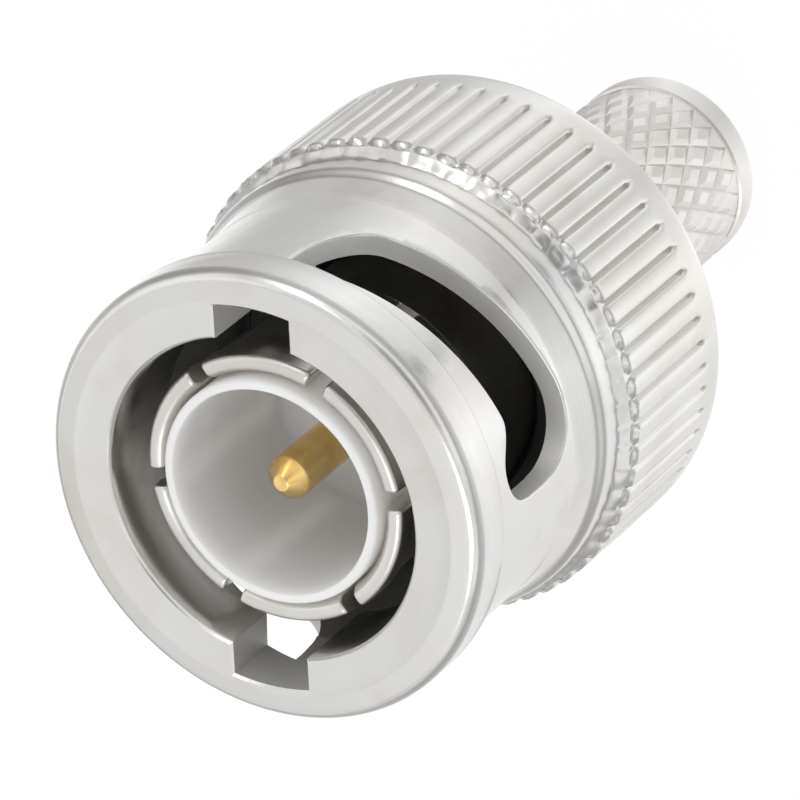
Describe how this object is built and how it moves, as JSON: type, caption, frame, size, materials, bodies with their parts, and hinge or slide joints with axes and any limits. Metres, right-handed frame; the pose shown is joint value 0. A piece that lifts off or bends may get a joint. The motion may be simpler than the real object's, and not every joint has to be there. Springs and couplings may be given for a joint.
{
  "type": "bnc connector",
  "caption": "Bayonet coaxial cable plug with a knurled quarter-turn coupling nut, slotted outer contact, gold centre pin and knurled crimp ferrule.",
  "frame": {"origin": "centre of the ferrule's end face, which is the lowest face, on the connector's axis", "axes": "+Z along the connector's axis towards the mating face; +X through the middle of one of the nut's two entry notches"},
  "size_m": [0.0148, 0.0148, 0.0247],
  "materials": {
    "bright_nickel": "polished nickel plate on turned brass",
    "satin_nickel": "satin nickel plate on turned brass",
    "gold_plate": "gold plate, polished",
    "white_insulator": "waxy, slightly translucent",
    "seal_rubber": "moulded",
    "spring_steel": "stamped strip"
  },
  "bodies": {
    "plug": {"plug_body": "bright_nickel", "crimp_stem": "satin_nickel", "outer_contact": "satin_nickel", "gasket": "seal_rubber", "front_insulator": "white_insulator", "rear_insulator": "white_insulator", "centre_contact": "gold_plate", "spring_washers": "spring_steel", "backing_washer": "spring_steel", "retaining_ring": "spring_steel"},
    "float_washer": {"thrust_washer": "spring_steel"},
    "nut": {"coupling_nut": "bright_nickel"},
    "ferrule": {"crimp_ferrule": "satin_nickel"}
  },
  "joints": [
    {"name": "nut_pull", "type": "slide", "parent": "plug", "child": "float_washer", "axis": [0, 0, 1], "range_m": [0, 0.00085], "stiffness_N_per_m": 12000, "springref_m": -0.0004, "deforming": ["spring_washers"]},
    {"name": "nut_turn", "type": "hinge", "parent": "float_washer", "child": "nut", "pos_m": [0, 0, 0.0121], "axis": [0, 0, 1], "continuous": true},
    {"name": "ferrule_slip", "type": "slide", "parent": "plug", "child": "ferrule", "axis": [0, 0, -1], "range_m": [0, 0.0072]}
  ]
}
